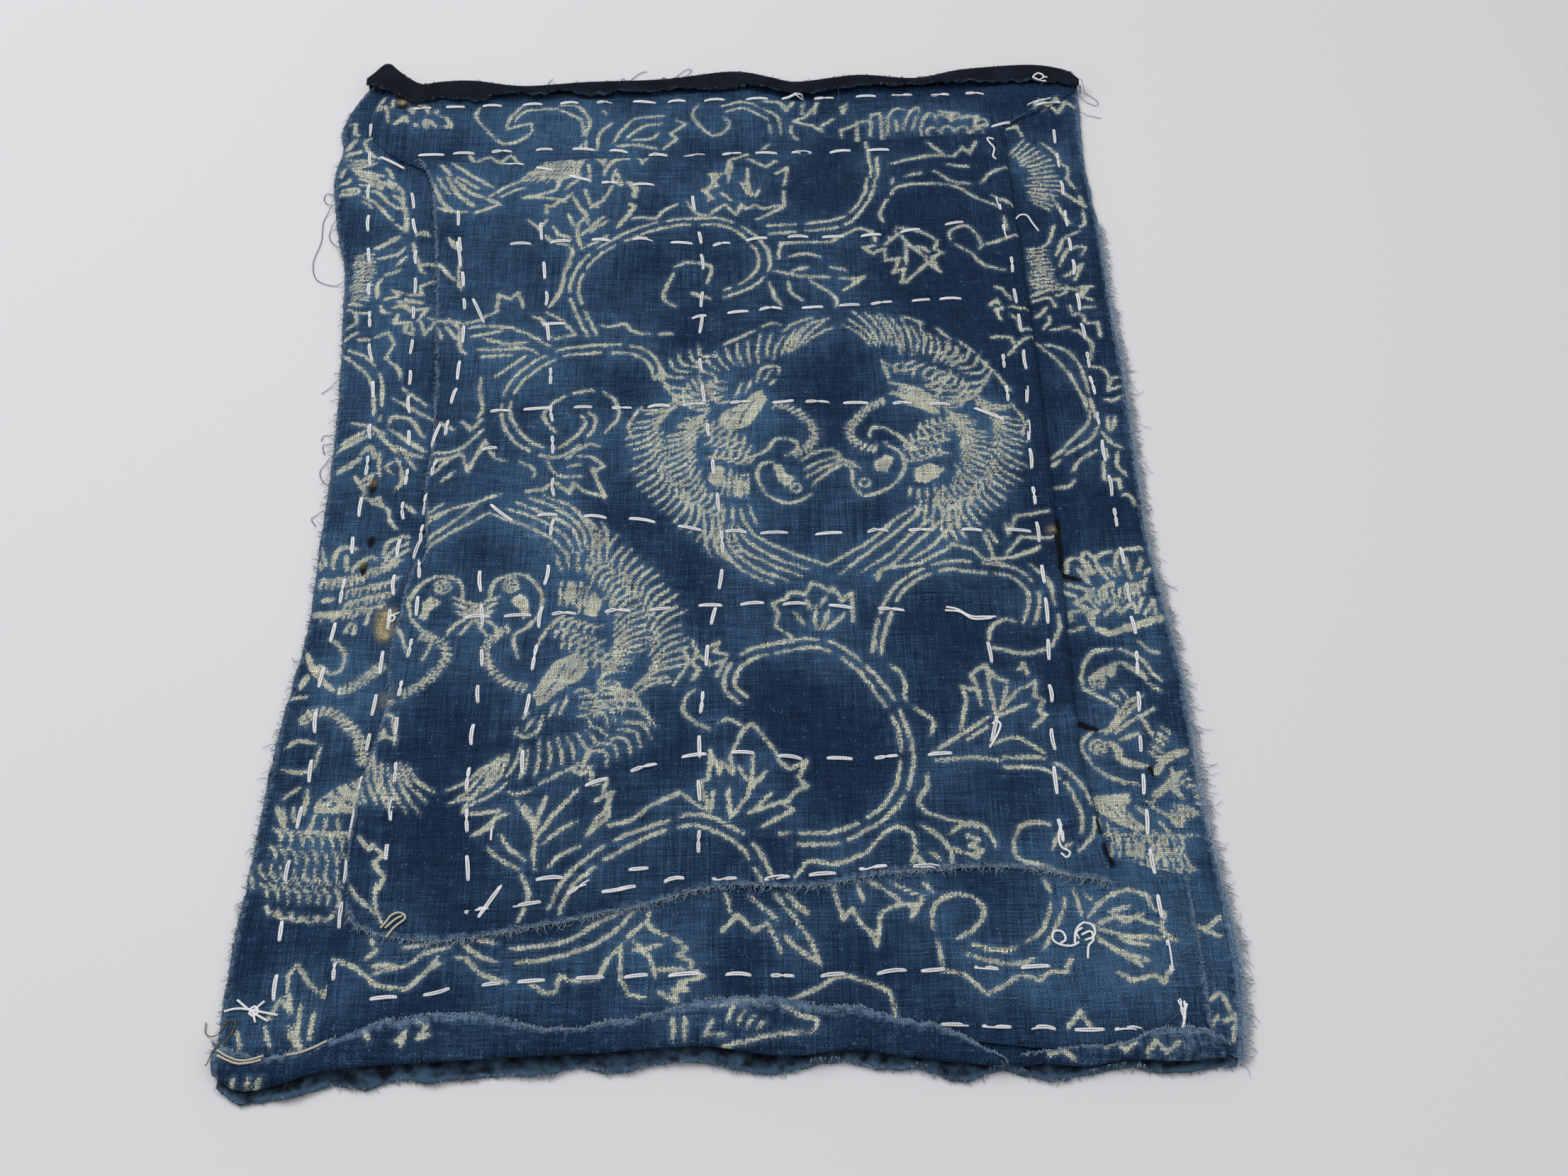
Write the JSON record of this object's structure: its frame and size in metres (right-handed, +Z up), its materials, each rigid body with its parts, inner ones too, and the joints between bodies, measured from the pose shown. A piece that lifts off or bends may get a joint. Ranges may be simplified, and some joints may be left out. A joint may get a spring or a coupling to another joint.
{
  "type": "boro patched cloth",
  "caption": "Flat rectangular mending cloth of five layered indigo cloths held by rows of white running stitch, its top edge turned over and its raw hem turned up.",
  "frame": {"origin": "middle of the bounding box, on the surface that the cloth lies on", "axes": "+Z up, out of the patterned face; +Y towards the turned dark edge; +X to the right, seen from above with that edge away"},
  "size_m": [0.348, 0.4967, 0.0087],
  "materials": {
    "dark_cloth": "matte plain-woven cotton, near-black indigo",
    "base_print": "matte hand-woven cotton, indigo with a pale resist pattern, worn at its raw edges",
    "band_print": "matte hand-woven cotton, indigo with a pale resist pattern",
    "centre_print": "matte hand-woven cotton, indigo with a pale resist pattern, faded in places",
    "sewing_thread": "soft white cotton thread"
  },
  "bodies": {
    "root": {"backing_cloth": "dark_cloth", "base_cloth": "base_print", "top_band": "band_print", "lower_band": "band_print", "centre_cloth": "centre_print"}
  },
  "joints": []
}
